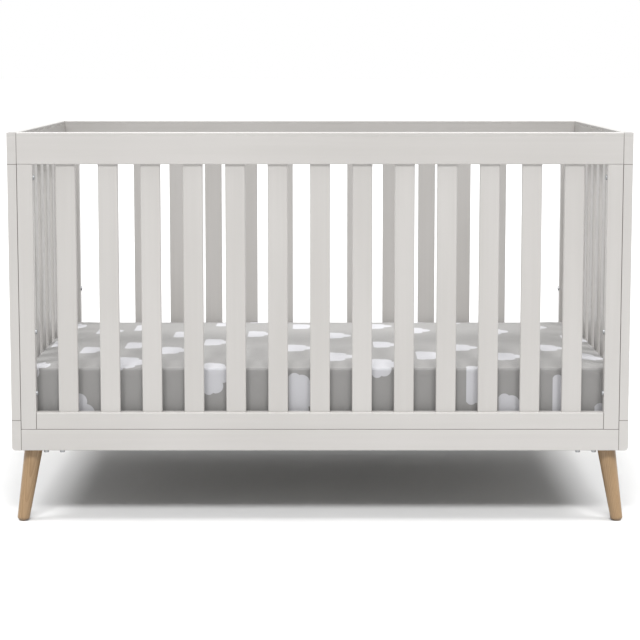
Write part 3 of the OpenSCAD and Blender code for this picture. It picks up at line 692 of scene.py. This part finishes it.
def plain_mesh(name, points, faces):
    mesh = bpy.data.meshes.new(name)
    mesh.from_pydata([tuple(p) for p in points], [], [list(f) for f in faces])
    mesh.shade_smooth()
    made = bpy.data.objects.new(name, mesh)
    scene.collection.objects.link(made)
    return made


def pumped(points, faces, held_still):
    """Where cloth under pressure takes the points, in 20 frames with the held ones pinned."""
    bag = plain_mesh("pumped_bag", points, faces)
    pins = bag.vertex_groups.new(name="pins")
    pins.add([int(v) for v in held_still], 1.0, "REPLACE")
    cloth = bag.modifiers.new("cloth", "CLOTH")
    cloth.settings.use_pressure = True
    cloth.settings.uniform_pressure_force = 4.0
    cloth.settings.effector_weights.gravity = 0.0
    cloth.settings.vertex_group_mass = "pins"
    cloth.settings.quality = 4
    cloth.point_cache.frame_start, cloth.point_cache.frame_end = 1, 20
    for frame_number in range(1, 21):
        scene.frame_set(frame_number)
    seen = bag.evaluated_get(bpy.context.evaluated_depsgraph_get())
    out = np.empty(len(points) * 3)
    seen.data.vertices.foreach_get("co", out)
    bpy.data.objects.remove(bag)
    scene.frame_set(1)
    return out.reshape(-1, 3)


start = rounded(box_points)
under = box_points[:, 2] <= -half_z + 1e-6
moved = np.zeros_like(start)
moved = pumped(start, quads, np.nonzero(under)[0]) - start
top_swell, side_swell = 0.0065, 0.0022
most = np.where(box_points[:, 2] > half_z - 1e-6, top_swell, side_swell)
far = np.linalg.norm(moved, axis=1)
moved *= (np.tanh(far / most) * most / np.maximum(far, 1e-9))[:, None]
moved[under] = 0
pad_points = start + moved
diamond, quilt_lift, quilt_depth = 0.085, 0.0010, 0.0035
quilt = np.abs(np.sin((box_points[:, 0] + box_points[:, 1]) * math.pi / diamond)
               * np.sin((box_points[:, 0] - box_points[:, 1]) * math.pi / diamond))
tucked = np.minimum(half_x - np.abs(box_points[:, 0]), half_y - np.abs(box_points[:, 1]))
sew = np.exp(-quilt / 0.10) * np.clip((tucked - 0.05) / 0.03, 0, 1)
pad_points[under, 2] += (quilt_lift + quilt_depth * sew)[under]

ticking = Finish("cotton_ticking", Sheen_Weight=0.15)
place = ticking.where()
east, north, up = ticking.parts(place)
weave = ticking.maths("SINE", (east + north) * 3500.0) * ticking.maths(
    "SINE", (east - north + up * 1.4) * 3500.0)
slub = ticking.clouded(ticking.stretched(place, (900, 90, 500)), 1.0, 3.0)
soil = ticking.clouded(place, 14.0, 4.0, 0.6)
cloth_colour = ticking.blend(slub, (0.58, 0.57, 0.54, 1), (0.64, 0.63, 0.605, 1))
ticking.feed(
    Base_Color=ticking.blend(ticking.smooth(soil, 0.55, 0.75) * 0.35, cloth_colour,
                             (0.50, 0.485, 0.44, 1)),
    Roughness=0.82 + slub * 0.1, Normal=ticking.relief(weave * 0.4 + slub * 0.6, 0.0003, 0.6))
pad = plain_mesh("mattress_pad", pad_points, quads)
pad.data.materials.append(ticking.material)
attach(pad, "mattress")
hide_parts("mattress")

# Piping: a cord in a bias strip, sewn into the seam along the top and bottom edges.
bead_r = 0.0022
cords = Recipe("piping", Radius=bead_r)
bead = cords.add("GeometryNodeMeshToCurve", None, {0: cords.size("Places")})
bead = cords.swept(bead, cords.circle(10), cords.size("Radius"), caps=False)
cords.close(cords.smoothed(bead), ticking.material)
around = [(i, 0) for i in range(nx)] + [(nx, j) for j in range(ny)]
around += [(i, ny) for i in range(nx, 0, -1)] + [(0, j) for j in range(ny, 0, -1)]
beads, bead_lines = [], []
for level, lift in ((nz, -0.0006), (0, 0.0016)):
    first = len(beads)
    for i, j in around:
        at = pad_points[number[(i, j, level)]]
        beads.append(at + [0, 0, lift])
    bead_lines += [(first + n, first + (n + 1) % len(around)) for n in range(len(around))]
made = cords.piece("mattress_piping", "mattress", beads, bead_lines)

# ---------------------------------------------------------------- fitted sheet
# A fitted cotton sheet, pulled tight over the mattress and turned in 70 mm under it, where
# elastic gathers the hem. It is grey with a printed drop repeat of plain clouds.
turned_in = 0.070
keep = [n for n, side in enumerate(quad_sides) if side != "bottom"
        or tucked[quads[n]].mean() < turned_in]
used = sorted({v for n in keep for v in quads[n]})
renumber = {v: n for n, v in enumerate(used)}
pad.data.update()
normals = np.empty(len(pad_points) * 3)
pad.data.vertices.foreach_get("normal", normals)
normals = normals.reshape(-1, 3)
gap_top = half_z - box_points[:, 2]
on_top = gap_top < 1e-6
skin = np.full(len(box_points), 0.0016)
from_edge = np.where(on_top, -tucked, gap_top)
skin += 0.0021 * np.exp(-((from_edge - 0.0005) / 0.0042) ** 2)
skin += 0.0008 * np.exp(-((from_edge - 0.0125) / 0.0028) ** 2)
corner_reach = 0.12
for n, (x, y, z) in enumerate(box_points):
    if on_top[n]:
        near_end = math.exp(-min(half_x - abs(x), half_y - abs(y)) / 0.05)
        slack = noise.noise((x * 9, y * 14, 3.0)) * 0.0009
        slack += noise.noise((x * 24, y * 24, 8.0)) * 0.0007 * near_end
    else:
        drop = min(1.0, (half_z - z) / (2 * half_z))
        along = y if abs(x) > half_x - 1e-6 else x
        slack = noise.noise((along * 26, z * 7, 5.0)) * 0.0011 * drop
        slack += noise.noise((along * 70, z * 10, 9.0)) * 0.0005 * drop ** 2
    into_x, into_y = abs(x) - half_x + corner_reach, abs(y) - half_y + corner_reach
    if into_x > 0 and into_y > 0:
        pucker = math.sin(math.atan2(into_y, into_x) * 22 + x * 40)
        slack += pucker * 0.0006 * min(1, math.hypot(into_x, into_y) / 0.1)
    skin[n] += slack
skin[under] = 0.0
sheet_points = pad_points + normals * skin[:, None]
hem_way = np.clip((tucked - 0.020) / (turned_in - 0.020), 0, 1)
ruffle = np.sin(np.where(half_x - np.abs(box_points[:, 0]) < half_y - np.abs(box_points[:, 1]),
                         box_points[:, 1], box_points[:, 0]) * math.tau / 0.021)
below, hem_ripple = 0.0007, 0.0011
sheet_points[under, 2] = (floor_z - below + hem_ripple * (1 + ruffle) / 2 * hem_way)[under]
for axis, half_size in ((0, half_x), (1, half_y)):
    limit = half_size + side_give + 0.0006
    sheet_points[:, axis] = np.clip(sheet_points[:, axis], -limit, limit)
sheet = plain_mesh("cloud_fitted_sheet", sheet_points[used],
                   [[renumber[v] for v in quads[n]] for n in keep])


def unfolded(v, side):
    """Where a point of the sheet lies on the printed cloth, in metres from its middle."""
    x, y, z = box_points[v]
    fall = half_z - z
    if side == "bottom":
        fall = 2 * half_z + tucked[v]
        edges = {"right": half_x - x, "left": half_x + x, "back": half_y - y, "front": half_y + y}
        side = min(edges, key=edges.get)
    return {"top": (x, y), "front": (x, -half_y - fall), "back": (x, half_y + fall),
            "right": (half_x + fall, y), "left": (-half_x - fall, y)}[side]


cut = sheet.data.uv_layers.new(name="cut")
cut.data.foreach_set("uv", [c for n in keep for v in quads[n] for c in unfolded(v, quad_sides[n])])

print_column, print_repeat = 0.098, 0.292
clouds = Finish("printed_cotton", Sheen_Weight=0.25, Sheen_Roughness=0.5)
flat = clouds.add("ShaderNodeUVMap", {"uv_map": "cut"})
u, v, _ = clouds.parts(flat)
column = clouds.maths("FLOOR", u / print_column)
# every second column drops by half a repeat, and each cloud strays a little
slid = v / print_repeat + clouds.maths("FLOORED_MODULO", column, 2.0) * 0.5 + 0.19
line = clouds.maths("FLOOR", slid)
chance = clouds.add("ShaderNodeTexWhiteNoise", {"noise_dimensions": "2D"}, {
    "Vector": clouds.vector(column + 3.5, line + 7.5)}, out=1)
luck_x, luck_y, luck_z = clouds.parts(chance)
px = (u / print_column - column - 0.5) * print_column + (luck_x - 0.5) * 0.026
py = (slid - line - 0.5) * print_repeat + (luck_y - 0.5) * 0.130
grow = 0.88 + luck_z * 0.14
bleed = clouds.clouded(flat, 900.0, 2.0)
# five round lobes on a straight base: their places across and along, and their radii
inside = None
for cx, cy, r in ((0.013, 0.000, 0.0240), (0.000, 0.029, 0.0190), (-0.001, -0.031, 0.0170),
                  (-0.016, 0.038, 0.0140), (-0.017, -0.039, 0.0125)):
    off_x, off_y = px - grow * cx, py - grow * cy
    puff = grow * r - clouds.maths("SQRT", off_x * off_x + off_y * off_y)
    inside = puff if inside is None else clouds.maths("MAXIMUM", inside, puff)
slab = clouds.maths("MINIMUM", grow * 0.0445 - clouds.maths("ABSOLUTE", py), grow * 0.004 - px)
inside = clouds.maths("MINIMUM", clouds.maths("MAXIMUM", inside, slab), px + grow * 0.029)
inside = inside + (bleed - 0.5) * 0.0012 - (luck_z > 0.95) * 0.1
ink = clouds.smooth(inside, -0.0004, 0.0004)
thread_pitch = 0.0011
warp = clouds.maths("SINE", u * (math.tau / thread_pitch))
weft = clouds.maths("SINE", v * (math.tau / thread_pitch))
slub_u = clouds.clouded(clouds.stretched(flat, (60, 1500, 1)), 1.0, 3.0)
slub_v = clouds.clouded(clouds.stretched(flat, (1500, 60, 1)), 1.0, 3.0)
wash = clouds.clouded(flat, 7.0, 3.0)
ground = clouds.blend(slub_u * 0.5 + slub_v * 0.5, (0.222, 0.217, 0.213, 1),
                      (0.257, 0.252, 0.246, 1))
ground = clouds.blend(clouds.smooth(wash, 0.3, 0.7) * 0.3, ground, (0.224, 0.221, 0.216, 1))
white = clouds.blend(slub_u, (0.425, 0.425, 0.447, 1), (0.473, 0.472, 0.492, 1))
clouds.feed(Base_Color=clouds.blend(ink * 0.96, ground, white),
            Roughness=0.80 + slub_v * 0.12,
            Normal=clouds.relief(warp * weft * 0.25 + slub_u * 0.4 + slub_v * 0.4, 0.00028, 0.6))
sheet.data.materials.append(clouds.material)
thick = sheet.modifiers.new("thickness", "SOLIDIFY")
thick.thickness = 0.0006
thick.offset = -1.0
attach(sheet, "mattress")
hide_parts("fitted_sheet")

# Hem: the edge folded over elastic, ruffled by it, and sewn with a line of stitches.
inner_i = [min(range(nx + 1), key=lambda n: abs(half_x - abs(grid_x[n]) - turned_in) + (
    0 if (grid_x[n] > 0) == right else 9)) for right in (False, True)]
inner_j = [min(range(ny + 1), key=lambda n: abs(half_y - abs(grid_y[n]) - turned_in) + (
    0 if (grid_y[n] > 0) == back else 9)) for back in (False, True)]
(i0, i1), (j0, j1) = inner_i, inner_j
hem_run = [(i, j0) for i in range(i0, i1)] + [(i1, j) for j in range(j0, j1)]
hem_run += [(i, j1) for i in range(i1, i0, -1)] + [(i0, j) for j in range(j1, j0, -1)]
hem_lift = 0.0009
hem_places = [sheet_points[number[(i, j, 0)]] + [0, 0, hem_lift] for i, j in hem_run]
hem_lines = [(n, (n + 1) % len(hem_places)) for n in range(len(hem_places))]
hems = Recipe("elastic_hem", Width=0.009, Thick=0.0016, Ruffle=0.0022)
edge = hems.add("GeometryNodeMeshToCurve", None, {0: hems.size("Places")})
edge = hems.add("GeometryNodeResampleCurve", {"mode": "LENGTH"}, {"Curve": edge, "Length": 0.004})
wander = hems.add("ShaderNodeTexNoise", {"noise_dimensions": "3D"}, {
    "Vector": hems.add("GeometryNodeInputPosition"), "Scale": 55.0, "Detail": 2.0}, out=1)
wander = hems.vector_maths("MULTIPLY", hems.vector_maths("SUBTRACT", wander, (0.5, 0.5, 0.5)),
                           (1.0, 1.0, 0.12))
edge = hems.add("GeometryNodeSetPosition", None, {
    "Geometry": edge, "Offset": hems.add("ShaderNodeVectorMath", {"operation": "SCALE"}, {
        0: wander, "Scale": hems.size("Ruffle") * 2})})
band = hems.placed(hems.circle(12, 0.5),
                   Scale=hems.vector(hems.size("Width"), hems.size("Thick"), 1.0))
edge = hems.add("GeometryNodeSetCurveNormal", {"mode": "Z_UP"}, {0: edge})
hems.close(hems.smoothed(hems.swept(edge, band, caps=False)), clouds.material)
hem = hems.piece("sheet_hem", "mattress", hem_places, hem_lines)

# Thread: a seam down each corner of the sheet and a line of stitches round its hem, each
# stitch a short length of cotton thread pulled a little into the cloth.
thread = Finish("cotton_thread", Sheen_Weight=0.2)
place = thread.where()
twist = thread.maths("SINE", thread.parts(thread.stretched(place, (5200, 5200, 5200)))[2]
                     + thread.clouded(place, 300.0) * 8)
thread.feed(Base_Color=thread.blend(twist * 0.5 + 0.5, (0.33, 0.326, 0.32, 1),
                                    (0.45, 0.445, 0.437, 1)),
            Roughness=0.7 + twist * 0.08, Normal=thread.relief(twist, 0.0001, 0.5))
sewing = Recipe("stitch_row", Step=0.0045, Stitch=0.0032, Thread=0.0004, Seed=5)
row = sewing.add("GeometryNodeMeshToCurve", None, {0: sewing.size("Places")})
row = sewing.add("GeometryNodeResampleCurve", {"mode": "LENGTH"}, {
    "Curve": row, "Length": sewing.size("Step")})
stitch = sewing.add("GeometryNodeMeshUVSphere", None, {"Segments": 6, "Rings": 5, "Radius": 0.5})
stray = sewing.add("FunctionNodeRandomValue", {"data_type": "FLOAT_VECTOR"}, {
    0: (-0.12, -0.12, -0.12), 1: (0.12, 0.12, 0.12), "Seed": sewing.size("Seed")})
way = sewing.add("FunctionNodeAlignRotationToVector", {"axis": "Z"}, {
    "Vector": sewing.vector_maths("ADD", sewing.add("GeometryNodeInputTangent"), stray)})
wide = sewing.size("Thread") * 2
row = sewing.copies(row, stitch, Rotation=way,
                    Scale=sewing.vector(wide, wide, sewing.size("Stitch")))
row = sewing.add("GeometryNodeRealizeInstances", None, {0: row})
sewing.close(sewing.smoothed(row), thread.material)
seam_places, seam_lines = [], []
for i, j in ((0, 0), (nx, 0), (nx, ny), (0, ny)):
    for k in range(nz, 1, -1):
        if k < nz:
            seam_lines.append((len(seam_places) - 1, len(seam_places)))
        v = number[(i, j, k)]
        seam_places.append(sheet_points[v] + normals[v] * 0.0003)
for name, places, lines in (
        ("corner_seams", seam_places, seam_lines),
        ("hem_stitches", [p - [0, 0, hem_lift] for p in hem_places], hem_lines)):
    sewing.piece("sheet_" + name, "mattress", places, lines)

# ---------------------------------------------------------------- studio
# A plain pale floor that runs on past the view, two soft lights high in front, one at each
# side, and a pale dome overhead that fills the shade.
floor_paint = Finish("pale_floor", Specular_IOR_Level=0.2)
place = floor_paint.where()
floor_tone = floor_paint.clouded(place, 3.0, 3.0)
floor_paint.feed(Base_Color=floor_paint.blend(floor_tone, (0.64, 0.64, 0.64, 1),
                                              (0.68, 0.68, 0.68, 1)), Roughness=0.9)
floor = plain_mesh("studio_floor", [(-90, -90, 0), (90, -90, 0), (90, 90, 0), (-90, 90, 0)],
                   [(0, 1, 2, 3)])
floor.data.materials.append(floor_paint.material)
floor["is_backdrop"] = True

# name, strength, apparent width, turn from the front, height above the floor (degrees)
for name, power, wide, turn, rise in (("left_front_softbox", 1.36, 12, -13, 49),
                                      ("right_front_softbox", 1.36, 12, 13, 49),
                                      ("left_side_softbox", 1.65, 24, -88, 61),
                                      ("right_side_softbox", 1.65, 24, 88, 61)):
    light = bpy.data.lights.new(name, "SUN")
    light.energy = power
    light.angle = math.radians(wide)
    lamp = bpy.data.objects.new(name, light)
    lamp.rotation_euler = (math.radians(90 - rise), 0.0, math.radians(turn))
    scene.collection.objects.link(lamp)
    lamp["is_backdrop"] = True

scene.world = bpy.data.worlds.new("white_studio")
scene.world.use_nodes = True
air = Graph(scene.world.node_tree)
rays = air.add("ShaderNodeLightPath").link.node.outputs
seen = air.maths("MAXIMUM", Socket(air, rays["Is Camera Ray"]), Socket(air, rays["Is Glossy Ray"]))
backdrop = scene.world.node_tree.nodes["Background"]
backdrop.inputs["Color"].default_value = (1, 1, 1, 1)
overhead = air.parts(air.add("ShaderNodeTexCoord"))[2]
air.put(backdrop.inputs["Strength"], air.smooth(overhead, 0.16, 0.58, 0.0, 0.74) + seen)
scene.view_settings.view_transform = "Standard"

low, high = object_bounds()
